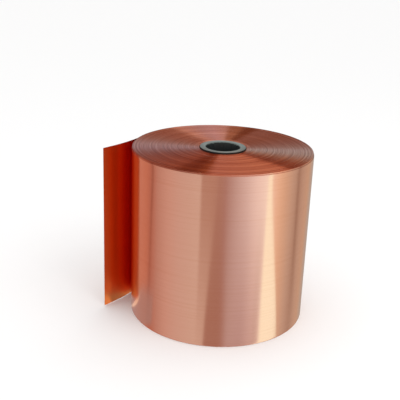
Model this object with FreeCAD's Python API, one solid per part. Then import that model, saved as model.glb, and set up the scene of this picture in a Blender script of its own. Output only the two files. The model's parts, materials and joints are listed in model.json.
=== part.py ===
"""Wide roll of bare copper foil, wound on a dark tube core and standing on one end.

Millimetres. The roll's axis is Z. The origin is on that axis, at the end of the core that the roll
stands on, and +Z points up. Seen from above the foil runs anticlockwise, from the core outwards.
The foil is one long strip. It is made here as pieces that behave differently: the first laps round
the core, the tightly wound pack in three sections, the loose outermost lap and the free tail.
"""

import FreeCAD, Part
import math
import os

V = FreeCAD.Vector
UP = V(0, 0, 1)

# Driving dimensions
ROLL_RADIUS = 200.0  # outside of the outermost lap, where the tail leaves it
CORE_BORE_RADIUS = 38.1  # a standard 3 inch core
CORE_WALL = 12.7  # half an inch, the heavy-duty wall
CORE_LENGTH = 385.0
FOIL_WIDTH = 380.0
FOIL_THICKNESS = 0.3
TELESCOPE = 4.0  # how much higher the outer laps of the pack sit than the first ones

# The strip of double-sided tape that holds the start of the foil on the core
TAPE_WIDTH = 25.0
TAPE_THICKNESS = 0.2

# First laps round the core
FIRST_LAPS = 2
FIRST_LAP_PITCH = 0.5
ASSEMBLY_GAP = 0.05  # between pieces of the roll that do not move on each other

# Wound pack, from the core outwards, and the radii where its sections meet
PACK_SECTIONS = ("wound_pack_inner", "wound_pack_middle", "wound_pack_outer")
PACK_JOINTS = (100.0, 150.0)

# Outermost lap, which slips round the pack as foil is paid out
LAP_BASE = 1.0  # height of its lower edge, a little below the pack it has slipped on
SLIP_GAP = 0.5  # room under the loose lap
LAP_PITCH = FOIL_THICKNESS + SLIP_GAP
LAP_OVERLAP = 20.0  # degrees that the lap runs on over its own start

# Free tail
TAKE_OFF_ANGLE = 157.6  # where the tail leaves the roll, anticlockwise from +X
TAIL_LENGTH = 138.5
TAIL_ARC_RADIUS = 412.0  # the tail bows gently away from the roll
TAIL_STRIPS = 8  # strips that the tail bends between
BEND_GAP = 0.4  # clear line between two strips, with the bend axis in its middle

CORE_RADIUS = CORE_BORE_RADIUS + CORE_WALL
TAKE_OFF_RADIUS = ROLL_RADIUS - FOIL_THICKNESS / 2
PACK_RADIUS = TAKE_OFF_RADIUS - LAP_PITCH * (1 + LAP_OVERLAP / 360) - FOIL_THICKNESS / 2 - SLIP_GAP


def polar(radius, degrees, centre=V(0, 0, 0)):
    """Point at a radius and an angle from a centre, in the XY plane."""
    angle = math.radians(degrees)
    return centre + V(radius * math.cos(angle), radius * math.sin(angle), 0)


def arc(centre, radius, start, end):
    """Circular edge from one angle to another, either way round."""
    middle = (start + end) / 2
    points = [polar(radius, degrees, centre) for degrees in (start, middle, end)]
    return Part.Arc(*points).toShape()


def ring(inner, outer, low, high):
    """Upright tube between two radii and two heights."""
    outside = Part.makeCylinder(outer, high - low, V(0, 0, low))
    return outside.cut(Part.makeCylinder(inner, high - low, V(0, 0, low)))


def bent_strip(arcs, thickness, low, high):
    """Upright strip of foil along a chain of tangent arcs, each one (centre, radius, start, end)."""
    half = thickness / 2
    outside = [arc(centre, radius + half, start, end) for centre, radius, start, end in arcs]
    inside = [arc(centre, radius - half, start, end) for centre, radius, start, end in arcs]
    ends = []
    for centre, radius, degrees in ((*arcs[0][:2], arcs[0][2]), (*arcs[-1][:2], arcs[-1][3])):
        near = polar(radius - half, degrees, centre)
        far = polar(radius + half, degrees, centre)
        ends.append(Part.makeLine(near, far))
    outline = Part.Wire(Part.__sortEdges__(outside + inside + ends))
    strip = Part.Face(outline).extrude(UP * (high - low))
    strip.translate(UP * low)
    return strip


def spiral_arcs(end_radius, end_angle, pitch, turn_degrees):
    """Arcs of a spiral that opens out to an end radius, in half turns from two centres.

    It is worked out backwards from its outer end, where its centre is the roll's axis.
    """
    arcs = []
    centre, radius, angle, left = V(0, 0, 0), end_radius, end_angle, turn_degrees
    while left > 0:
        sweep = min(180.0, left)
        arcs.append((centre, radius, angle - sweep, angle))
        angle -= sweep
        left -= sweep
        centre = centre + polar(pitch / 2, angle)
        radius -= pitch / 2
    return arcs[::-1]


def core_tube():
    """Plain dark tube that the foil is wound on, open at both ends."""
    return ring(CORE_BORE_RADIUS, CORE_RADIUS, 0, CORE_LENGTH)


def start_tape():
    """Thin adhesive strip along the core, under the start of the foil."""
    half_angle = math.degrees(TAPE_WIDTH / CORE_RADIUS) / 2
    radius = CORE_RADIUS + TAPE_THICKNESS / 2
    start = TAKE_OFF_ANGLE - half_angle
    end = TAKE_OFF_ANGLE + half_angle
    return bent_strip([(V(0, 0, 0), radius, start, end)], TAPE_THICKNESS, 0, FOIL_WIDTH)


def first_laps_radius():
    """Outer radius of the first laps, with the start of the foil resting on its tape."""
    start = CORE_RADIUS + TAPE_THICKNESS + ASSEMBLY_GAP
    return start + FOIL_THICKNESS + FIRST_LAPS * FIRST_LAP_PITCH


def first_laps():
    """The foil's first turns round the core, as a true spiral."""
    radius = first_laps_radius() - FOIL_THICKNESS / 2
    arcs = spiral_arcs(radius, TAKE_OFF_ANGLE, FIRST_LAP_PITCH, 360 * FIRST_LAPS)
    return bent_strip(arcs, FOIL_THICKNESS, 0, FOIL_WIDTH)


def wound_pack():
    """Tightly wound turns, in sections that have crept a little upwards on each other."""
    start = first_laps_radius() + FIRST_LAP_PITCH / 2 + ASSEMBLY_GAP
    radii = (start, *PACK_JOINTS, PACK_RADIUS)
    sections = {}
    for number, name in enumerate(PACK_SECTIONS):
        creep = TELESCOPE * number / (len(PACK_SECTIONS) - 1)
        inner = radii[number] + ASSEMBLY_GAP
        sections[name] = ring(inner, radii[number + 1], creep, creep + FOIL_WIDTH)
    return sections


def outer_lap():
    """The loose outermost turn, which runs over its own start before the tail leaves it."""
    trim = math.degrees(BEND_GAP / 2 / TAKE_OFF_RADIUS)
    end = TAKE_OFF_ANGLE - trim
    arcs = spiral_arcs(TAKE_OFF_RADIUS, end, LAP_PITCH, 360 + LAP_OVERLAP - trim)
    return bent_strip(arcs, FOIL_THICKNESS, LAP_BASE, LAP_BASE + FOIL_WIDTH)


def tail_strips():
    """The free tail, cut along its bend lines, from the roll to the free end."""
    centre = polar(TAKE_OFF_RADIUS + TAIL_ARC_RADIUS, TAKE_OFF_ANGLE)
    step = math.degrees(TAIL_LENGTH / TAIL_STRIPS / TAIL_ARC_RADIUS)
    trim = math.degrees(BEND_GAP / 2 / TAIL_ARC_RADIUS)
    strips = {}
    for number in range(TAIL_STRIPS):
        start = TAKE_OFF_ANGLE + 180 - number * step - trim
        end = TAKE_OFF_ANGLE + 180 - (number + 1) * step
        if number < TAIL_STRIPS - 1:
            end += trim
        path = [(centre, TAIL_ARC_RADIUS, start, end)]
        name = f"tail_strip_{number + 1}"
        strips[name] = bent_strip(path, FOIL_THICKNESS, LAP_BASE, LAP_BASE + FOIL_WIDTH)
    return strips


def main():
    nodes = {
        "core_tube": core_tube(),
        "start_tape": start_tape(),
        "first_laps": first_laps(),
        "outer_lap": outer_lap(),
    }
    nodes.update(wound_pack())
    nodes.update(tail_strips())
    os.makedirs("parts", exist_ok=True)
    for name, shape in nodes.items():
        shape.exportStep(f"parts/{name}.step")


main()
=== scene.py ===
"""Studio model of a wide roll of bare copper foil, wound on a dark core and standing on one end.

Metres, in the CAD frame: the roll's axis is Z and the floor is z = 0. The foil's loose outermost lap
and its free tail are one continuous sheet here, cut into pieces that meet half way between bends.
"""

import json
import math
import random

import bpy
import numpy as np
from mathutils import Matrix, Vector

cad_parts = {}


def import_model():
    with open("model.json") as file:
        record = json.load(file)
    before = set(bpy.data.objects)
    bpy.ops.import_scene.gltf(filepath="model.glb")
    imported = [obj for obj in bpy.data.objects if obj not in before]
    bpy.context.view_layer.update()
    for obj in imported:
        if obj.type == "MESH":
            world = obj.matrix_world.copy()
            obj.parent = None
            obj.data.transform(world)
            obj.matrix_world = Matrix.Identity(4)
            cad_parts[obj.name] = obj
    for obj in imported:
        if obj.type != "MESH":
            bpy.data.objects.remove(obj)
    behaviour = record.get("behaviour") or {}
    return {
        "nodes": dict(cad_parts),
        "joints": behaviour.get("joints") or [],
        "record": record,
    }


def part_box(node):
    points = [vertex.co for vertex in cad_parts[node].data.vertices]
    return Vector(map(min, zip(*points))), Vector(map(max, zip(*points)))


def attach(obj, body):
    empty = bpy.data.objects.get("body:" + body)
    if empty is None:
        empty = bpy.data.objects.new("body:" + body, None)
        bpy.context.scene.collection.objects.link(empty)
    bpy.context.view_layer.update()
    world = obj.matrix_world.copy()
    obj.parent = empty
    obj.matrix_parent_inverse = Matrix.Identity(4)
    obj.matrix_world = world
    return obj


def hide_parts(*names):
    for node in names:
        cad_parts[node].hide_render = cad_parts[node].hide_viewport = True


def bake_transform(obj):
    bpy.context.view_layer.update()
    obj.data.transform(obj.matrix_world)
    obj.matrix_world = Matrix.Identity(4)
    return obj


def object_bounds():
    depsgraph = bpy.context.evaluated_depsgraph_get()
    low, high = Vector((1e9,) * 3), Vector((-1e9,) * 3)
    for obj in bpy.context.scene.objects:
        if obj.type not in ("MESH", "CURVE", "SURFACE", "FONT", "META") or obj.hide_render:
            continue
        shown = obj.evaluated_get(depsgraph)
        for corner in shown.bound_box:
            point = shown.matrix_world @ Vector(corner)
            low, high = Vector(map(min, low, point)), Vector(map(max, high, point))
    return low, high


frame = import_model()
cad_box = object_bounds()

# ---------------------------------------------------------------- sizes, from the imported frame
MOUNTS = {mount["name"]: mount for mount in frame["record"]["mounts"]}
JOINTS = {joint["name"]: joint for joint in frame["joints"]}

CORE_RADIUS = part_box("core_tube")[1].x
CORE_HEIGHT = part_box("core_tube")[1].z
BORE_RADIUS = MOUNTS["core_bore"]["dims"]["r_mm"] / 1000
ROLL_RADIUS = cad_box[1].x
FOIL_LOW, FOIL_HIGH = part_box("outer_lap")[0].z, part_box("outer_lap")[1].z
RIM_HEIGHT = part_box("wound_pack_outer")[1].z

BENDS = [Vector(JOINTS[f"tail_bend_{n}"]["pos_m"]) for n in range(1, 9)]
FOIL_END = Vector(MOUNTS["foil_end"]["pos_m"])

# As in the CAD: the frame doesn't give these
FOIL_THICKNESS = 0.0003
LAP_PITCH = 0.0008  # how much further out each turn of the loose lap lies
LAP_OVERLAP = math.radians(20)  # how far the lap runs on over its own start


# ---------------------------------------------------------------- meshes
SHARP_ANGLE = math.radians(35)


def mesh_object(name, vertices, faces):
    """A smooth-shaded mesh that keeps its real corners sharp."""
    mesh = bpy.data.meshes.new(name)
    mesh.from_pydata([tuple(v) for v in vertices], [], faces)
    mesh.validate()
    mesh.polygons.foreach_set("use_smooth", [True] * len(mesh.polygons))
    mesh.set_sharp_from_angle(angle=SHARP_ANGLE)
    obj = bpy.data.objects.new(name, mesh)
    bpy.context.scene.collection.objects.link(obj)
    return obj


def faces_between(here, there, count):
    """Four-sided faces between two closed loops of count points, which start at points here and there."""
    faces = []
    for i in range(count):
        j = (i + 1) % count
        faces.append((here + i, there + i, there + j, here + j))
    return faces


def turned_ring(name, profile, steps):
    """Closed ring from a closed profile. profile(angle) gives (radius, height) points, anticlockwise
    when seen with the radius to the right, so that the faces point outwards."""
    vertices = []
    for step in range(steps):
        angle = 2 * math.pi * step / steps
        around = Vector((math.cos(angle), math.sin(angle), 0))
        vertices += [around * radius + Vector((0, 0, height)) for radius, height in profile(angle)]
    count = len(vertices) // steps
    faces = []
    for step in range(steps):
        faces += faces_between(step * count, (step + 1) % steps * count, count)
    return mesh_object(name, vertices, faces)


# ---------------------------------------------------------------- the line of the foil
def take_off():
    """Angle and radius at which the foil leaves the roll."""
    return math.atan2(BENDS[0].y, BENDS[0].x), math.hypot(BENDS[0].x, BENDS[0].y)


def tail_arc():
    """Centre and radius of the tail's arc, which starts along the roll's tangent and bows away."""
    angle, radius = take_off()
    outward = Vector((math.cos(angle), math.sin(angle), 0))
    start = outward * radius
    chord = Vector((FOIL_END.x, FOIL_END.y, 0)) - start
    arc_radius = chord.length_squared / (2 * chord.dot(outward))
    return start + outward * arc_radius, arc_radius


TAKE_OFF_ANGLE, TAKE_OFF_RADIUS = take_off()
TAIL_CENTRE, TAIL_ARC_RADIUS = tail_arc()


def tail_distance(point):
    """How far along the tail a point on it lies, from where the tail leaves the roll."""
    away = Vector((point.x, point.y, 0)) - TAIL_CENTRE
    turned = (TAKE_OFF_ANGLE + math.pi - math.atan2(away.y, away.x)) % (2 * math.pi)
    return turned * TAIL_ARC_RADIUS


TAIL_LENGTH = tail_distance(FOIL_END)
STRIP_LENGTH = TAIL_LENGTH / len(BENDS)


def foil_line(distance):
    """(point, outward normal) on the middle of the foil, at a distance past the take-off line."""
    if distance <= 0:
        turned = distance / TAKE_OFF_RADIUS
        radius = TAKE_OFF_RADIUS + LAP_PITCH * turned / (2 * math.pi)
        angle = TAKE_OFF_ANGLE + turned
        outward = Vector((math.cos(angle), math.sin(angle), 0))
        return outward * radius, outward
    angle = TAKE_OFF_ANGLE + math.pi - distance / TAIL_ARC_RADIUS
    inward = Vector((math.cos(angle), math.sin(angle), 0))
    return TAIL_CENTRE + inward * TAIL_ARC_RADIUS, -inward


LAP_SAG = 0.0009  # how far the loose lap has slipped down at the roll's left and right
SAG_RUN_OUT = 0.06  # length over which it comes back up to the height of the tail


def smoothstep(value):
    """0 below 0 and 1 above 1, with an eased step between."""
    value = min(max(value, 0.0), 1.0)
    return value * value * (3 - 2 * value)


def foil_heights(distance):
    """Lower and upper edge of the foil. The loose lap has slipped down a little at each side."""
    azimuth = TAKE_OFF_ANGLE + distance / TAKE_OFF_RADIUS
    sag = LAP_SAG * math.cos(azimuth) ** 2 * smoothstep(-distance / SAG_RUN_OUT)
    return FOIL_LOW - sag, FOIL_HIGH - sag


RIM_CURL = 0.0004  # the slit edges lean in a little
RIM_CURL_HEIGHT = 0.0012
END_CURL = 0.0006  # the free end turns back towards the roll
END_CURL_LENGTH = 0.02
SLACK_WAVES = ((0.00003, 31, 9), (0.00002, 67, -15))  # size, then radians per metre along and up the foil


def foil_ripple(distance, height, low, high):
    """How far the foil stands off its line: slack waves, edges that lean in, and a curled free end."""
    below_top, above_foot = high - height, height - low
    near_edge = math.exp(-below_top / RIM_CURL_HEIGHT) + math.exp(-above_foot / RIM_CURL_HEIGHT)
    wave = sum(size * math.sin(distance * along + height * up) for size, along, up in SLACK_WAVES)
    past_curl = max(0.0, distance - TAIL_LENGTH + END_CURL_LENGTH) / END_CURL_LENGTH
    return wave - RIM_CURL * near_edge - END_CURL * past_curl ** 2


EDGE_ROWS = (0, 0.0004, 0.0010, 0.0020, 0.0035, 0.006, 0.010)  # closer rows towards an edge
ROW_STEP = 0.012
EDGE_BEVEL = 0.00008
LAP_COLUMN_STEP = 0.0016
TAIL_COLUMN_STEP = 0.0008  # closer together, for a smooth curve when the tail bends


def row_heights(low, high):
    """Heights of the rows of a sheet, closer together near its edges."""
    middle = np.arange(low + EDGE_ROWS[-1] + ROW_STEP, high - EDGE_ROWS[-1] - ROW_STEP / 2, ROW_STEP)
    lower = [low + EDGE_BEVEL + rise for rise in EDGE_ROWS]
    upper = [high - EDGE_BEVEL - rise for rise in reversed(EDGE_ROWS)]
    return lower + list(middle) + upper


def sheet_loop(distance):
    """Points round a sheet at one distance: up its outer side, over, down its inner side and under."""
    low, high = foil_heights(distance)
    point, normal = foil_line(distance)
    half = FOIL_THICKNESS / 2
    rows = row_heights(low, high)
    ripples = [foil_ripple(distance, height, low, high) for height in rows]
    loop = [(half + ripple, height) for ripple, height in zip(ripples, rows)]
    loop += [(half - EDGE_BEVEL + ripples[-1], high), (EDGE_BEVEL - half + ripples[-1], high)]
    loop += [(ripple - half, height) for ripple, height in zip(ripples[::-1], rows[::-1])]
    loop += [(EDGE_BEVEL - half + ripples[0], low), (half - EDGE_BEVEL + ripples[0], low)]
    return [point + normal * offset + Vector((0, 0, height)) for offset, height in loop]


def cap_pairs(count):
    """Neighbouring pairs of (outer, inner) points up a sheet's cut end."""
    pairs = [((k - 1) % count, count - 2 - k) for k in range(count // 2)]
    return zip(pairs, pairs[1:])


def foil_sheet(name, start, end, column_step):
    """A closed sheet of foil between two distances along its line, with bevelled slit edges. Its
    inner side has the second material."""
    columns = max(2, round((end - start) / column_step) + 1)
    vertices = []
    for distance in np.linspace(start, end, columns):
        vertices += sheet_loop(distance)
    count = len(vertices) // columns
    faces = []
    for column in range(columns - 1):
        faces += faces_between(column * count, (column + 1) * count, count)
    last = (columns - 1) * count
    for near, far in cap_pairs(count):
        faces.append((near[0], far[0], far[1], near[1]))
        faces.append(tuple(last + i for i in (near[1], far[1], far[0], near[0])))
    sheet = mesh_object(name, vertices, faces)
    rows_each_side = count // 2 - 2
    inner = [rows_each_side < i < count - 2 for i in range(count)] * (columns - 1)
    for polygon, is_inner in zip(sheet.data.polygons, inner):
        polygon.material_index = int(is_inner)
    return sheet


def tail_sheets():
    """The lap and the tail, each tail piece centred on one joint, and meeting half way between."""
    lap_start = -(2 * math.pi + LAP_OVERLAP) * TAKE_OFF_RADIUS
    lap = foil_sheet("loose_outer_lap", lap_start, -STRIP_LENGTH / 2, LAP_COLUMN_STEP)
    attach(lap, "outer_lap")
    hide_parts("outer_lap")
    sheets = [lap]
    for number, bend in enumerate(BENDS):
        middle = tail_distance(bend) if number else 0.0
        start, end = middle - STRIP_LENGTH / 2, middle + STRIP_LENGTH / 2
        stop = TAIL_LENGTH if number == len(BENDS) - 1 else end
        sheet = foil_sheet(f"tail_sheet_{number + 1}", start, stop, TAIL_COLUMN_STEP)
        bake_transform(sheet)
        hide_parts(f"tail_strip_{number + 1}")
        sheets.append(sheet)
    return sheets


# ---------------------------------------------------------------- wound pack and core
PACK_NODES = ("wound_pack_inner", "wound_pack_middle", "wound_pack_outer")
PACK_INNER = {node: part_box(within)[1].x for node, within in zip(PACK_NODES, ("first_laps", *PACK_NODES))}
PACK_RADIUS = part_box("wound_pack_outer")[1].x
PACK_RING_STEPS = 288
FIRST_LAPS_RADIUS = PACK_INNER["wound_pack_inner"]
PACK_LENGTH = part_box("wound_pack_inner")[1].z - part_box("wound_pack_inner")[0].z
RIM_CREEP = RIM_HEIGHT - PACK_LENGTH  # how far the outermost laps have crept up
DISH = 0.0015  # and how much less the innermost
GROOVE = 0.00018  # depth of the groove between two runs of laps
RIM_ROUNDING = 0.0007
CORNER = 0.3  # where a rounded edge's middle point lies, as a share of its rounding from each side
PACK_SEED = 11

# Runs of laps that crept together
RUN_WIDTH = (0.0009, 0.0034)
RUN_DEPTH = (0.00008, 0.00022)
RUN_TILT = (-0.05, 0.05)
RUN_SWAY = (0, 0.00008)  # a run lies up to twice this much deeper on one side of the roll
FLAT_REST = 0.0012  # a narrower rest, past the last run, stays flat


def creep(radius):
    """How far the laps at a radius have crept up."""
    return RIM_CREEP - DISH * (PACK_RADIUS - radius) / (PACK_RADIUS - FIRST_LAPS_RADIUS)


def lap_bundles(rng, inner, outer):
    """Runs of laps that crept together: (inner radius, outer radius, depth, tilt, sway, direction)."""
    bundles = []
    radius = inner
    while outer - radius > FLAT_REST:
        width = min(rng.uniform(*RUN_WIDTH), outer - radius)
        if outer - radius - width < RUN_WIDTH[0]:
            width = outer - radius
        depth, tilt = rng.uniform(*RUN_DEPTH), rng.uniform(*RUN_TILT)
        sway, direction = rng.uniform(*RUN_SWAY), rng.uniform(0, 2 * math.pi)
        bundles.append((radius, radius + width, depth, tilt, sway, direction))
        radius += width
    return bundles


def end_face(bundles, angle):
    """(radius, depth below the end) points across the laps, from the bore outwards."""
    points = []
    for start, end, depth, tilt, sway, direction in bundles:
        level = depth + sway * (1 + math.cos(angle - direction))
        lean = tilt * (end - start) / 2
        points += [(start, max(level - lean, level + lean) + GROOVE), (start + GROOVE, level - lean)]
        points += [(end - GROOVE / 2, level + lean)]
    return points


def pack_section(node, seed):
    """One section of the tightly wound pack, with the slit edges of its laps as fine ridges."""
    inner, outer = PACK_INNER[node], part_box(node)[1].x
    bundles = lap_bundles(random.Random(seed), inner, outer)
    rounding = RIM_ROUNDING if node == PACK_NODES[-1] else GROOVE

    def profile(angle):
        face = [(radius, depth) for radius, depth in end_face(bundles, angle) if radius < outer - rounding]
        edge = face[-1][1]
        face += [(outer - rounding, edge), (outer - rounding * CORNER, edge + rounding * CORNER)]
        face += [(outer, edge + rounding)]
        top = [(radius, creep(radius) + PACK_LENGTH - depth) for radius, depth in reversed(face)]
        bottom = [(radius, creep(radius) + depth) for radius, depth in face]
        return top + bottom

    section = turned_ring(node + "_laps", profile, PACK_RING_STEPS)
    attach(section, "roll")
    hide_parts(node)
    return section


CORE_STEPS = 240
CORE_EDGE = 0.0006
CORE_WALL_PARTS, CORE_END_PARTS = 12, 8
CORE_SEED = 5

# Ragged edges: how many waves make them up, and their depth
TORN_TOP = (14, 0.0022)
TORN_BOTTOM = (14, 0.0006)
SAW_MARKS = (18, 0.00006)
SAW_SLANT = 90  # radians that the saw's marks turn per metre of radius
CHIPS_ROUND = (3, 70)  # fewest and most chips of one wave round the edge
CHIP_BASE, CHIP_GAIN = 0.35, 3  # least depth and what the waves add, as shares of the depth


def chipping(rng, waves, depth):
    """A ragged depth round an edge, always above zero."""
    parts = [(rng.randint(*CHIPS_ROUND), rng.uniform(0, 2 * math.pi), rng.random()) for _ in range(waves)]
    total = sum(size for *_, size in parts)

    def at(angle):
        value = sum(size * math.sin(count * angle + phase) for count, phase, size in parts) / total
        return depth * (CHIP_BASE + max(0.0, value) * CHIP_GAIN)

    return at


def core():
    """The dark core: a moulded tube, sawn square, with a torn edge round its bore. The torn edge has
    the second material."""
    rng = random.Random(CORE_SEED)
    torn_top, torn_bottom = chipping(rng, *TORN_TOP), chipping(rng, *TORN_BOTTOM)
    saw = chipping(rng, *SAW_MARKS)
    wall_height = CORE_HEIGHT - 2 * CORE_EDGE
    wall = [CORE_EDGE + wall_height * part / CORE_WALL_PARTS for part in range(CORE_WALL_PARTS + 1)]
    end_width = CORE_RADIUS - BORE_RADIUS - 2 * CORE_EDGE
    end_parts = range(CORE_END_PARTS + 1)

    def profile(angle):
        outside = [(CORE_RADIUS, height) for height in wall]
        across = [CORE_RADIUS - CORE_EDGE - end_width * part / CORE_END_PARTS for part in end_parts]
        across = [(radius, CORE_HEIGHT - saw(angle + radius * SAW_SLANT)) for radius in across]
        inside = [(BORE_RADIUS, CORE_HEIGHT - CORE_EDGE - torn_top(angle))]
        inside += [(BORE_RADIUS, height) for height in reversed(wall[1:-1])]
        inside += [(BORE_RADIUS, torn_bottom(angle))]
        foot = [(BORE_RADIUS + CORE_EDGE, 0.0), (CORE_RADIUS - CORE_EDGE, 0.0)]
        return outside + across + inside + foot

    piece = turned_ring("dark_core", profile, CORE_STEPS)
    torn_edge = CORE_WALL_PARTS + CORE_END_PARTS + 1
    points = len(profile(0))
    for polygon in piece.data.polygons:
        polygon.material_index = int(polygon.index % points == torn_edge)
    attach(piece, "roll")
    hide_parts("core_tube")
    return piece


# ---------------------------------------------------------------- materials
class Nodes:
    """Short names for building a material's node tree."""

    def __init__(self, tree):
        self.tree = tree

    def add(self, kind, **values):
        """A new shader node, with its settings."""
        node = self.tree.nodes.new("ShaderNode" + kind)
        for name, value in values.items():
            setattr(node, name, value)
        return node

    def link(self, source, target):
        self.tree.links.new(source, target)

    def set(self, socket, value):
        """Links an output to a socket, or sets a plain value on it."""
        if isinstance(value, bpy.types.NodeSocket):
            self.link(value, socket)
        else:
            socket.default_value = value

    def fill(self, node, values):
        """Sets a node's first inputs to the values, in order."""
        for socket, value in zip(node.inputs, values):
            self.set(socket, value)
        return node

    def math(self, operation, *values):
        return self.fill(self.add("Math", operation=operation), values).outputs[0]

    def vector_math(self, operation, *values):
        node = self.fill(self.add("VectorMath", operation=operation), values)
        return node.outputs["Value"] if operation == "LENGTH" else node.outputs[0]

    def smooth(self, value, low, high):
        """0 below low and 1 above high, with an eased step between."""
        node = self.add("MapRange", interpolation_type="SMOOTHSTEP")
        return self.fill(node, (value, low, high)).outputs[0]

    def fraction(self, value, low, high):
        """0 below low and 1 above high, and even between."""
        return self.fill(self.add("MapRange"), (value, low, high, 0.0, 1.0)).outputs[0]

    def scale(self, value, low, high):
        """A 0 to 1 value spread between low and high."""
        return self.fill(self.add("MapRange"), (value, 0.0, 1.0, low, high)).outputs[0]

    def split(self, vector):
        """The X, Y and Z of a vector."""
        return self.fill(self.add("SeparateXYZ"), (vector,)).outputs

    def place(self):
        """Where a point is on its own object, so that the grain moves with the piece."""
        return self.add("TexCoord").outputs["Object"]

    def position(self):
        """Where a point is in the studio."""
        return self.add("NewGeometry").outputs["Position"]

    def mix(self, factor, first, second):
        """A colour between the first, at factor 0, and the second, at factor 1."""
        node = self.add("Mix", data_type="RGBA")
        self.set(node.inputs["Factor"], factor)
        self.set(node.inputs[6], first)
        self.set(node.inputs[7], second)
        return node.outputs[2]

    def noise(self, vector, scale=1.0, detail=2.0, roughness=0.5):
        """Cloudy noise, mostly between 0.3 and 0.7."""
        node = self.add("TexNoise")
        self.link(vector, node.inputs["Vector"])
        node.inputs["Scale"].default_value = scale
        node.inputs["Detail"].default_value = detail
        node.inputs["Roughness"].default_value = roughness
        return node.outputs["Fac"]

    def stretched(self, vector, scale):
        """A place multiplied along each axis: the larger the number, the finer the noise that way."""
        return self.vector_math("MULTIPLY", vector, scale)

    def ramp(self, factor, stops):
        """A colour that blends through (position, colour) stops."""
        node = self.add("ValToRGB")
        node.color_ramp.interpolation = "LINEAR"
        elements = node.color_ramp.elements
        while len(elements) > 1:
            elements.remove(elements[-1])
        elements[0].position, elements[0].color = stops[0][0], (*stops[0][1], 1)
        for position, colour in stops[1:]:
            elements.new(position).color = (*colour, 1)
        self.link(factor, node.inputs[0])
        return node.outputs[0]

    def bump(self, height, strength, distance):
        """A normal that stands for relief of up to a distance in metres."""
        node = self.add("Bump")
        node.inputs["Strength"].default_value = strength
        node.inputs["Distance"].default_value = distance
        self.link(height, node.inputs["Height"])
        return node.outputs[0]


def new_material(name, **sockets):
    """(material, its Nodes, its Principled shader) with plain values on the shader's sockets."""
    material = bpy.data.materials.new(name)
    material.use_nodes = True
    nodes = Nodes(material.node_tree)
    shader = material.node_tree.nodes["Principled BSDF"]
    for socket, value in sockets.items():
        shader.inputs[socket.replace("_", " ")].default_value = value
    return material, nodes, shader


COPPER = (0.93, 0.50, 0.37, 1)
COPPER_PINK = (0.95, 0.55, 0.43, 1)
COPPER_DEEP = (0.88, 0.43, 0.29, 1)
# Inner side of the foil: deep red, with a painted reflection of the roll and painted shade
REFLECTION_PAINTED_COPPER = (0.83, 0.25, 0.08, 1)
REFLECTION_PAINTED_COPPER_DEEP = (0.78, 0.21, 0.06, 1)

# How the foil's grain is stretched: rolling lines, wider bands and long streaks
LINE_STRETCH = (5, 5, 900)
BAND_STRETCH = (2, 2, 160)
STREAK_STRETCH = (1.5, 1.5, 420)
STREAK_STRENGTH = 0.35
CLOUD_STRENGTH = 0.5
OUTER_ROUGHNESS, INNER_ROUGHNESS = 0.18, 0.20
ROUGHNESS_SPREAD = 0.03
FOIL_RELIEF = 0.00003


def rolled_foil(name, colour, pink, deep, roughness):
    """Bright rolled copper: fine lines along the strip blur what it mirrors upwards and downwards."""
    material, nodes, shader = new_material(name, Metallic=1.0, Anisotropic=0.96)
    place = nodes.place()
    lines = nodes.noise(nodes.stretched(place, LINE_STRETCH), detail=3.0, roughness=0.6)
    bands = nodes.noise(nodes.stretched(place, BAND_STRETCH), detail=3.0)
    streaks = nodes.noise(nodes.stretched(place, STREAK_STRETCH))
    clouds = nodes.noise(place, scale=9.0, detail=4.0)
    streaked = nodes.math("MULTIPLY", nodes.smooth(streaks, 0.48, 0.74), STREAK_STRENGTH)
    tint = nodes.mix(nodes.scale(clouds, 0.0, CLOUD_STRENGTH), colour, pink)
    tint = nodes.mix(nodes.smooth(lines, 0.60, 0.85), tint, deep)
    tint = nodes.mix(streaked, tint, deep)
    nodes.link(tint, shader.inputs["Base Color"])
    line_rough = nodes.scale(lines, -ROUGHNESS_SPREAD, ROUGHNESS_SPREAD)
    band_rough = nodes.scale(bands, roughness - ROUGHNESS_SPREAD, roughness + ROUGHNESS_SPREAD)
    nodes.link(nodes.math("ADD", line_rough, band_rough), shader.inputs["Roughness"])
    relief = nodes.math("ADD", lines, nodes.math("MULTIPLY", bands, 3.0))
    nodes.link(nodes.bump(relief, 0.25, FOIL_RELIEF), shader.inputs["Normal"])
    across = nodes.add("CombineXYZ")
    across.inputs["Z"].default_value = 1.0
    nodes.link(across.outputs[0], shader.inputs["Tangent"])
    return material


def foil_material():
    """The side that faces out on the roll."""
    return rolled_foil("rolled_copper", COPPER, COPPER_PINK, COPPER_DEEP, OUTER_ROUGHNESS)


def inner_foil_material():
    """The side that faced the core: a warmer, deeper copper, with the roll's red reflection and the shade
    between tail and roll painted in.
    """
    name = "rolled_copper_inner_side_painted_reflection"
    return rolled_foil(name, REFLECTION_PAINTED_COPPER, REFLECTION_PAINTED_COPPER, REFLECTION_PAINTED_COPPER_DEEP, INNER_ROUGHNESS)


EDGE_TONES = ((0.35, (0.44, 0.13, 0.08)), (0.5, (0.78, 0.33, 0.22)), (0.63, (0.95, 0.51, 0.39)))
SCUFF = (0.95, 0.62, 0.52, 1)
SCUFF_RADII = (0.178, 0.19)  # scuffs begin past the first and are full at the second
SCUFF_ROUGHNESS = 0.3  # how much rougher a scuff is
EDGE_ROUGHNESS = (0.14, 0.22)
FINE_RINGS = (1500, 5, 3.0)  # rings of tone: how many to a metre, drift and detail, as rings() takes them
COARSE_RINGS = (300, 3, 2.0)
FINE_SHARE, COARSE_SHARE = 0.35, 0.65
EDGE_RELIEF = 0.00010


def rings(nodes, flat, radius, per_metre, drift, detail):
    """Noise in thin rings round the axis, which drifts a little on the way round."""
    ring = nodes.add("CombineXYZ")
    nodes.link(nodes.math("MULTIPLY", radius, per_metre), ring.inputs[0])
    place = nodes.vector_math("ADD", ring.outputs[0], nodes.stretched(flat, (drift, drift, 0)))
    return nodes.noise(place, detail=detail, roughness=0.6)


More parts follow.
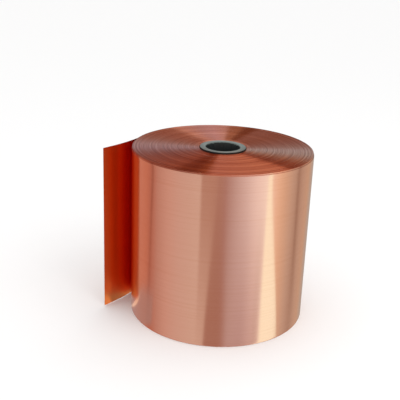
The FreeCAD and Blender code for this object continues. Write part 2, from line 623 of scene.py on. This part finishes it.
def edge_material():
    """Slit edges of the wound laps: copper rings of slightly different tone, bright across the rings."""
    material, nodes, shader = new_material("wound_copper_edges", Metallic=1.0, Anisotropic=1.0)
    place = nodes.place()
    flat = nodes.stretched(place, (1, 1, 0))
    radius = nodes.vector_math("LENGTH", flat)
    fine = rings(nodes, flat, radius, *FINE_RINGS)
    coarse = rings(nodes, flat, radius, *COARSE_RINGS)
    fine_part = nodes.math("MULTIPLY", fine, FINE_SHARE)
    tone = nodes.math("ADD", fine_part, nodes.math("MULTIPLY", coarse, COARSE_SHARE))
    colour = nodes.ramp(tone, EDGE_TONES)
    knocks = nodes.math("MULTIPLY", nodes.noise(place, scale=70.0, detail=1.0), fine)
    near_rim = nodes.smooth(radius, *SCUFF_RADII)
    scuffed = nodes.math("MULTIPLY", nodes.smooth(knocks, 0.42, 0.46), near_rim)
    nodes.link(nodes.mix(scuffed, colour, SCUFF), shader.inputs["Base Color"])
    rubbed = nodes.math("MULTIPLY", scuffed, SCUFF_ROUGHNESS)
    rough = nodes.math("ADD", nodes.scale(fine, *EDGE_ROUGHNESS), rubbed)
    nodes.link(rough, shader.inputs["Roughness"])
    relief = nodes.math("ADD", fine, nodes.math("MULTIPLY", coarse, 2.0))
    nodes.link(nodes.bump(relief, 0.6, EDGE_RELIEF), shader.inputs["Normal"])
    nodes.link(flat, shader.inputs["Tangent"])
    return material


# Darkest tones of the black plastic, and palest tones of the painted sheen on its level faces
BLACK = ((0.008, 0.012, 0.013, 1), (0.022, 0.027, 0.028, 1))
PAINTED_SHEEN = ((0.075, 0.10, 0.095, 1), (0.22, 0.265, 0.25, 1))
SAW_STRETCH = (60, 1400, 60)
CORE_ROUGHNESS = (0.32, 0.48)
SAWN_ROUGHNESS = 0.12  # how much rougher the sawn faces are
CORE_RELIEF = 0.00008
SHEEN_AND_SAWN_SOFTNESS = 0.15
SHEEN_AND_SAWN_END, ALL_SHEEN_AND_SAWN = 0.8, -0.5  # how level a face has to be before it counts as sawn and gets the painted sheen


def core_material(name, sheen_and_sawn_above):
    """Black moulded plastic, with a painted green-grey sheen for the light it reflects on faces that are
    level enough; these faces count as sawn too, rougher and with saw strokes.
    """
    material, nodes, shader = new_material(name, IOR=1.5)
    place = nodes.place()
    facing = nodes.split(nodes.add("NewGeometry").outputs["Normal"])
    level = nodes.math("ABSOLUTE", facing["Z"])
    sawn_and_sheen = nodes.smooth(level, sheen_and_sawn_above, sheen_and_sawn_above + SHEEN_AND_SAWN_SOFTNESS)
    grain = nodes.noise(place, scale=900.0, detail=3.0)
    strokes = nodes.noise(nodes.stretched(place, SAW_STRETCH), detail=3.0)
    # Painted sheen: level faces get a paler green-grey base colour for the light they reflect
    painted_sheen = nodes.mix(strokes, *PAINTED_SHEEN)
    wall = nodes.mix(grain, *BLACK)
    nodes.link(nodes.mix(sawn_and_sheen, wall, painted_sheen), shader.inputs["Base Color"])
    furred = nodes.math("MULTIPLY", sawn_and_sheen, SAWN_ROUGHNESS)
    rough = nodes.math("ADD", nodes.scale(grain, *CORE_ROUGHNESS), furred)
    nodes.link(rough, shader.inputs["Roughness"])
    height = nodes.math("ADD", grain, nodes.math("MULTIPLY", strokes, sawn_and_sheen))
    nodes.link(nodes.bump(height, 0.5, CORE_RELIEF), shader.inputs["Normal"])
    return material


CREAM = ((0.50, 0.44, 0.30, 1), (0.68, 0.62, 0.47, 1))
CREPE_STRETCH = (900, 900, 120)
TAPE_ROUGHNESS = (0.45, 0.65)
TAPE_RELIEF = 0.00006


def tape_material():
    """Cream adhesive tape with a faint creped grain."""
    material, nodes, shader = new_material("adhesive_tape", IOR=1.46)
    crepe = nodes.noise(nodes.stretched(nodes.place(), CREPE_STRETCH))
    nodes.link(nodes.mix(crepe, *CREAM), shader.inputs["Base Color"])
    nodes.link(nodes.scale(crepe, *TAPE_ROUGHNESS), shader.inputs["Roughness"])
    nodes.link(nodes.bump(crepe, 0.4, TAPE_RELIEF), shader.inputs["Normal"])
    return material


def wear(obj, slot, *materials):
    """Gives a piece its materials. The slot argument is not used."""
    if obj.data.materials:
        obj.data.materials.clear()  # this also forgets which face has which material
    for material in materials:
        obj.data.materials.append(material)


# ---------------------------------------------------------------- studio
# The copper mirrors a round screen close to the roll, a card over its wound edges and a soft ceiling.
# Azimuths are in degrees from the camera's side (-Y) towards +X.
SCREEN_RADIUS = 0.6
SCREEN_THICKNESS = 0.002
SCREEN_STEPS = 192
SCREEN_ENDS = (-0.9, 0.40)
SCREEN_FOOT, SCREEN_TOP = -0.22, 0.21  # the stretch of it that the roll mirrors

# Colours of the screen by azimuth, blending from one to the next
SCREEN = (
    (-180, (0.50, 0.54, 0.52)),
    (-130, (0.56, 0.32, 0.26)),
    (-107, (0.62, 0.33, 0.25)),
    (-90, (0.57, 0.28, 0.20)),
    (-82, (0.47, 0.23, 0.18)),
    (-76, (0.51, 0.30, 0.25)),
    (-71, (0.54, 0.38, 0.34)),
    (-57, (0.63, 0.50, 0.46)),
    (-43, (0.64, 0.57, 0.54)),
    (-22, (0.66, 0.64, 0.60)),
    (-10, (0.62, 0.58, 0.53)),
    (4, (0.44, 0.34, 0.34)),
    (14, (0.52, 0.48, 0.51)),
    (28, (0.64, 0.64, 0.71)),
    (39, (0.82, 0.86, 0.93)),
    (49, (0.94, 1.05, 1.08)),
    (53, (0.96, 0.98, 0.90)),
    (64, (0.86, 0.80, 0.64)),
    (72, (0.74, 0.68, 0.54)),
    (85, (0.57, 0.55, 0.48)),
    (96, (0.45, 0.39, 0.33)),
    (107, (0.54, 0.49, 0.41)),
    (120, (0.60, 0.49, 0.36)),
    (134, (0.47, 0.45, 0.40)),
    (180, (0.50, 0.54, 0.52)),
)

# Cards on the screen: left and right edge, each (at the top, at the foot), then how soft the left and
# right edges are, colour, and strength (at the top, at the foot)
CARDS = {
    "gap_left": ((-80.5, -86.5), (-78.0, -84.0), (3, 3), (0.22, 0.08, 0.05), (0.75, 0.35)),
    "brown_card": ((-19.6, -19.6), (-3.5, -12.0), (1.2, 3), (0.46, 0.34, 0.29), (0.9, 0.0)),
    "rose_card": ((-3.5, -12.0), (2.5, 9.0), (3, 12), (0.40, 0.27, 0.23), (0.75, 1.0)),
    "cool_light": ((26.0, 26.0), (49.5, 49.5), (44, 1.5), (1.06, 1.34, 1.42), (0.5, 0.0)),
    "shade": ((20.0, 20.0), (49.5, 49.5), (20, 1.5), (0.36, 0.26, 0.26), (0.0, 0.45)),
    "fold": ((41.5, 41.5), (48.0, 48.0), (1.5, 3), (0.45, 0.38, 0.38), (0.0, 0.25)),
    "light_wedge": ((49.5, 50.5), (54.0, 75.5), (1.5, 2.5), (1.08, 1.42, 1.28), (1.0, 1.0)),
    "gap_right": ((93.0, 96.0), (95.0, 104.0), (3, 8), (0.22, 0.15, 0.11), (0.8, 0.12)),
}


def hide_from(obj, *kinds):
    """Makes an object invisible to some kinds of ray."""
    for kind in kinds:
        setattr(obj, "visible_" + kind, False)


def glowing(name):
    """(material, its Nodes, its Emission node) for something that only glows."""
    material = bpy.data.materials.new(name)
    material.use_nodes = True
    material.node_tree.nodes.clear()
    material.cycles.emission_sampling = "NONE"
    nodes = Nodes(material.node_tree)
    glow = nodes.add("Emission")
    nodes.link(glow.outputs[0], nodes.add("OutputMaterial").inputs["Surface"])
    return material, nodes, glow


def mirrored_only(obj, material):
    """Marks a piece of the studio that is only seen mirrored in the copper."""
    obj.data.materials.append(material)
    hide_from(obj, "camera", "diffuse", "shadow", "transmission", "volume_scatter")


def screen():
    """The round screen, with cards and gaps that the copper mirrors as upright bands."""
    low, high = SCREEN_ENDS
    inside = SCREEN_RADIUS - SCREEN_THICKNESS
    wall = [(SCREEN_RADIUS, low), (SCREEN_RADIUS, high), (inside, high), (inside, low)]
    tube = turned_ring("screen", lambda angle: wall, SCREEN_STEPS)
    material, nodes, glow = glowing("screen")
    x, y, z = nodes.split(nodes.position())
    azimuth = nodes.math("DEGREES", nodes.math("ARCTAN2", x, nodes.math("MULTIPLY", y, -1.0)))
    turn = nodes.math("ADD", nodes.math("DIVIDE", azimuth, 360.0), 0.5)
    light = nodes.ramp(turn, [(angle / 360 + 0.5, colour) for angle, colour in SCREEN])
    height = nodes.fraction(z, SCREEN_FOOT, SCREEN_TOP)
    for left, right, softness, colour, strength in CARDS.values():
        past_left = nodes.math("SUBTRACT", azimuth, nodes.scale(height, left[1], left[0]))
        before_right = nodes.math("SUBTRACT", nodes.scale(height, right[1], right[0]), azimuth)
        on_card = nodes.math(
            "MULTIPLY",
            nodes.smooth(past_left, -softness[0] / 2, softness[0] / 2),
            nodes.smooth(before_right, -softness[1] / 2, softness[1] / 2),
        )
        on_card = nodes.math("MULTIPLY", on_card, nodes.scale(height, strength[1], strength[0]))
        light = nodes.mix(on_card, light, (*colour, 1))
    nodes.link(light, glow.inputs["Color"])
    mirrored_only(tube, material)


# A ring-shaped card just over the wound edges, in sectors by degrees round the roll from +X. The edges
# are seen at a low angle, so that they mirror what is over a place a little behind them.
EDGE_CARD_HEIGHT = 0.006
EDGE_CARD_THICKNESS = 0.001
EDGE_CARD_CENTRE = (0.0, 0.025)
EDGE_CARD_INNER, EDGE_CARD_OUTER = 0.045, 0.30
EDGE_CARD_STEPS = 96
EDGE_CARD = (
    (0, (0.41, 0.46, 0.49)),
    (10, (0.32, 0.27, 0.26)),
    (22, (0.28, 0.18, 0.16)),
    (40, (0.28, 0.145, 0.105)),
    (60, (0.32, 0.185, 0.15)),
    (66, (0.22, 0.09, 0.05)),
    (72, (0.22, 0.09, 0.05)),
    (76, (0.38, 0.20, 0.12)),
    (84, (0.42, 0.24, 0.16)),
    (89, (0.62, 0.46, 0.42)),
    (100, (0.63, 0.49, 0.52)),
    (110, (0.56, 0.43, 0.44)),
    (129, (0.63, 0.40, 0.30)),
    (133, (0.38, 0.19, 0.13)),
    (150, (0.33, 0.17, 0.13)),
    (165, (0.33, 0.22, 0.19)),
    (180, (0.39, 0.37, 0.41)),
    (190, (0.36, 0.34, 0.40)),
    (202, (0.28, 0.20, 0.21)),
    (212, (0.28, 0.145, 0.125)),
    (240, (0.32, 0.12, 0.075)),
    (246, (0.21, 0.06, 0.03)),
    (254, (0.21, 0.06, 0.03)),
    (260, (0.32, 0.11, 0.05)),
    (265, (0.54, 0.27, 0.195)),
    (300, (0.60, 0.30, 0.19)),
    (311, (0.58, 0.27, 0.165)),
    (315, (0.26, 0.09, 0.05)),
    (325, (0.28, 0.11, 0.065)),
    (334, (0.35, 0.22, 0.15)),
    (350, (0.39, 0.43, 0.43)),
    (360, (0.41, 0.46, 0.49)),
)


def edge_card():
    """The light that the wound edges mirror."""
    low = RIM_HEIGHT + EDGE_CARD_HEIGHT
    high = low + EDGE_CARD_THICKNESS
    inner, outer = EDGE_CARD_INNER, EDGE_CARD_OUTER
    section = [(inner, low), (outer, low), (outer, high), (inner, high)]
    card = turned_ring("edge_card", lambda angle: section, EDGE_CARD_STEPS)
    centre = Vector((*EDGE_CARD_CENTRE, 0))
    for vertex in card.data.vertices:
        vertex.co += centre
    material, nodes, glow = glowing("edge_card")
    x, y, _ = nodes.split(nodes.vector_math("SUBTRACT", nodes.position(), tuple(centre)))
    turn = nodes.math("DIVIDE", nodes.math("ARCTAN2", y, x), math.tau)
    sector = nodes.math("FRACT", nodes.math("ADD", turn, 1.0))
    light = nodes.ramp(sector, [(degrees / 360, colour) for degrees, colour in EDGE_CARD])
    nodes.link(light, glow.inputs["Color"])
    mirrored_only(card, material)


CEILING_RADIUS = 12.0
CEILING_STEPS = 24
CEILING_SIDE = (0.80, 0.74, 0.70, 1)
CEILING_TOP = (0.85, 0.83, 0.81, 1)


def ceiling():
    """The soft light over the roll, paler overhead."""
    vertices, faces = [], []
    across = 2 * CEILING_STEPS
    for row in range(CEILING_STEPS + 1):
        polar = math.pi * row / CEILING_STEPS
        level = math.sin(polar)
        for column in range(across):
            turn = math.pi * column / CEILING_STEPS
            unit = Vector((level * math.cos(turn), level * math.sin(turn), math.cos(polar)))
            vertices.append(unit * CEILING_RADIUS)
    for row in range(CEILING_STEPS):
        for column in range(across):
            here, there = row * across + column, row * across + (column + 1) % across
            faces.append((here, there, there + across, here + across))
    dome = mesh_object("ceiling", vertices, faces)
    material, nodes, glow = glowing("ceiling")
    unit = nodes.split(nodes.vector_math("NORMALIZE", nodes.position()))
    overhead = nodes.smooth(unit["Z"], 0.0, 1.0)
    nodes.link(nodes.mix(overhead, CEILING_SIDE, CEILING_TOP), glow.inputs["Color"])
    mirrored_only(dome, material)


FLOOR_RADIUS = 14.0
FLOOR_STEPS = 96
PALE = (0.98, 0.98, 0.98, 1)

# A glowing patch of floor by the tail, with its shade painted in, that the copper does mirror,
# and a painted glint for the light that falls under the tail's end.
# Each fades out between two distances from its centre.
PATCH_CENTRE = Vector((FOIL_END.x + 0.022, FOIL_END.y - 0.038, 0))
PATCH_SOLID, PATCH_END = 0.078, 0.108
PATCH_FRONT = (-0.150, -0.136)  # y where it fades out and where it is whole
# Painted shade: the floor between the tail and the roll, darker than the pale floor
PATCH_SHADE_COLOUR = (0.40, 0.38, 0.40, 1)
PATCH_CLEAR = 0.35  # how much of the screen behind the patch still shows
GLINT_CENTRE = Vector((FOIL_END.x + 0.026, FOIL_END.y + 0.004, 0))
GLINT_SIZE = (0.046, 0.016)
GLINT_EDGE = (0.5, 1.0)  # shares of its size between which it fades out
GLINT_COLOUR = (0.88, 0.76, 0.62, 1)


def disc(name, centre, radius):
    """A flat disc that faces up."""
    angles = np.linspace(0, math.tau, FLOOR_STEPS + 1)[:-1]
    points = [Vector((math.cos(angle), math.sin(angle), 0)) * radius for angle in angles]
    faces = [(0, i, i % FLOOR_STEPS + 1) for i in range(1, FLOOR_STEPS + 1)]
    return mesh_object(name, [centre] + [centre + point for point in points], faces)


def floor():
    """A plain pale floor. The copper doesn't mirror it, but the screen behind it."""
    ground = disc("floor", Vector((0, 0, 0)), FLOOR_RADIUS)
    material, _, shader = new_material("pale_floor", Base_Color=PALE, Roughness=0.9)
    ground.data.materials.append(material)
    hide_from(ground, "glossy", "shadow")


def floor_shade_and_glint_by_the_tail():
    """The glowing patch of floor, with its shade painted in, that the copper mirrors in the gap by the
    tail, and its painted glint. no_glint and no_patch are 0 on the glint and on the patch, and 1 off them."""
    patch = disc("floor_shade_and_glint_by_the_tail", PATCH_CENTRE, PATCH_END + GLINT_SIZE[0])
    material, nodes, glow = glowing("floor_shade_and_glint_by_the_tail")
    place = nodes.position()
    from_glint = nodes.vector_math("SUBTRACT", place, tuple(GLINT_CENTRE))
    from_glint = nodes.stretched(from_glint, (1 / GLINT_SIZE[0], 1 / GLINT_SIZE[1], 0))
    no_glint = nodes.smooth(nodes.vector_math("LENGTH", from_glint), *GLINT_EDGE)
    # Painted glint, fading to the painted floor shade
    nodes.link(nodes.mix(no_glint, GLINT_COLOUR, PATCH_SHADE_COLOUR), glow.inputs["Color"])
    from_centre = nodes.vector_math("LENGTH", nodes.vector_math("SUBTRACT", place, tuple(PATCH_CENTRE)))
    no_patch = nodes.smooth(from_centre, PATCH_SOLID, PATCH_END)
    in_front = nodes.math("SUBTRACT", 1.0, nodes.smooth(nodes.split(place)["Y"], *PATCH_FRONT))
    no_patch = nodes.math("MAXIMUM", no_patch, in_front)
    clear = nodes.math("MINIMUM", no_glint, nodes.scale(no_patch, PATCH_CLEAR, 1.0))
    fade = nodes.add("MixShader")
    nodes.link(clear, fade.inputs[0])
    nodes.link(glow.outputs[0], fade.inputs[1])
    nodes.link(nodes.add("BsdfTransparent").outputs[0], fade.inputs[2])
    nodes.link(fade.outputs[0], material.node_tree.nodes["Material Output"].inputs["Surface"])
    mirrored_only(patch, material)


KEY_PLACE = Vector((0.9, -0.9, 1.7))
KEY_TARGET = Vector((0, 0, 0.1))
KEY_SIZE = 1.2
KEY_POWER = 8


def key_light():
    """A square soft light that only matt surfaces see: the screens are what the copper mirrors."""
    data = bpy.data.lights.new("key", "AREA")
    data.shape = "SQUARE"
    data.size = KEY_SIZE
    data.energy = KEY_POWER
    lamp = bpy.data.objects.new("key", data)
    bpy.context.scene.collection.objects.link(lamp)
    lamp.location = KEY_PLACE
    lamp.rotation_euler = (KEY_TARGET - KEY_PLACE).to_track_quat("-Z", "Y").to_euler()
    hide_from(lamp, "camera", "glossy")


def world():
    """Even white light from all round, which gives the white background."""
    scene = bpy.context.scene
    scene.world = bpy.data.worlds.new("studio")
    scene.world.use_nodes = True
    background = scene.world.node_tree.nodes["Background"]
    background.inputs["Color"].default_value = (1.0, 1.0, 1.0, 1)
    background.inputs["Strength"].default_value = 1.0


CAMERA_PLACE = Vector((0.0, -7.816, 4.105)) * ROLL_RADIUS
CAMERA_YAW, CAMERA_PITCH, CAMERA_ROLL = math.radians(-1.68), math.radians(-19.81), math.radians(2.16)
CAMERA_LENS, CAMERA_SENSOR = 66.3, 36.0  # millimetres


def camera():
    """Looks down on the roll from the front, turned and tilted slightly."""
    data = bpy.data.cameras.new("camera")
    data.sensor_width = CAMERA_SENSOR
    data.lens = CAMERA_LENS
    eye = bpy.data.objects.new("camera", data)
    bpy.context.scene.collection.objects.link(eye)
    ahead = math.cos(CAMERA_PITCH)
    forward = Vector((math.sin(CAMERA_YAW) * ahead, math.cos(CAMERA_YAW) * ahead, math.sin(CAMERA_PITCH)))
    level = Vector((math.cos(CAMERA_YAW), -math.sin(CAMERA_YAW), 0))
    upright = level.cross(forward)
    right = level * math.cos(CAMERA_ROLL) + upright * math.sin(CAMERA_ROLL)
    up = right.cross(forward)
    turned = Matrix((right, up, -forward)).transposed().to_4x4()
    eye.matrix_world = Matrix.Translation(CAMERA_PLACE) @ turned
    bpy.context.scene.camera = eye


MAX_BOUNCES, GLOSSY_BOUNCES = 24, 20  # the tail and the roll mirror each other many times


def studio():
    """Everything around the roll: floor, screens, light and camera."""
    world()
    floor()
    floor_shade_and_glint_by_the_tail()
    screen()
    edge_card()
    ceiling()
    key_light()
    camera()
    scene = bpy.context.scene
    scene.view_settings.view_transform = "Standard"
    scene.cycles.max_bounces = MAX_BOUNCES
    scene.cycles.glossy_bounces = GLOSSY_BOUNCES


# ---------------------------------------------------------------- the whole roll
def roll():
    """Every piece of the roll, in its materials. The CAD's own first laps and start tape stay."""
    outer_side, inner_side, edges = foil_material(), inner_foil_material(), edge_material()
    for sheet in tail_sheets():
        wear(sheet, "copper_foil", outer_side, inner_side)
    for seed, node in enumerate(PACK_NODES, PACK_SEED):
        wear(pack_section(node, seed), "wound_copper_edges", edges)
    # The torn edge's material gives the painted sheen to every face of it
    moulded, torn = core_material("black_core", SHEEN_AND_SAWN_END), core_material("black_core_torn_edge", ALL_SHEEN_AND_SAWN)
    wear(core(), "dark_core", moulded, torn)
    wear(frame["nodes"]["first_laps"], "copper_foil", edges)
    wear(frame["nodes"]["start_tape"], "adhesive_tape", tape_material())


roll()
studio()
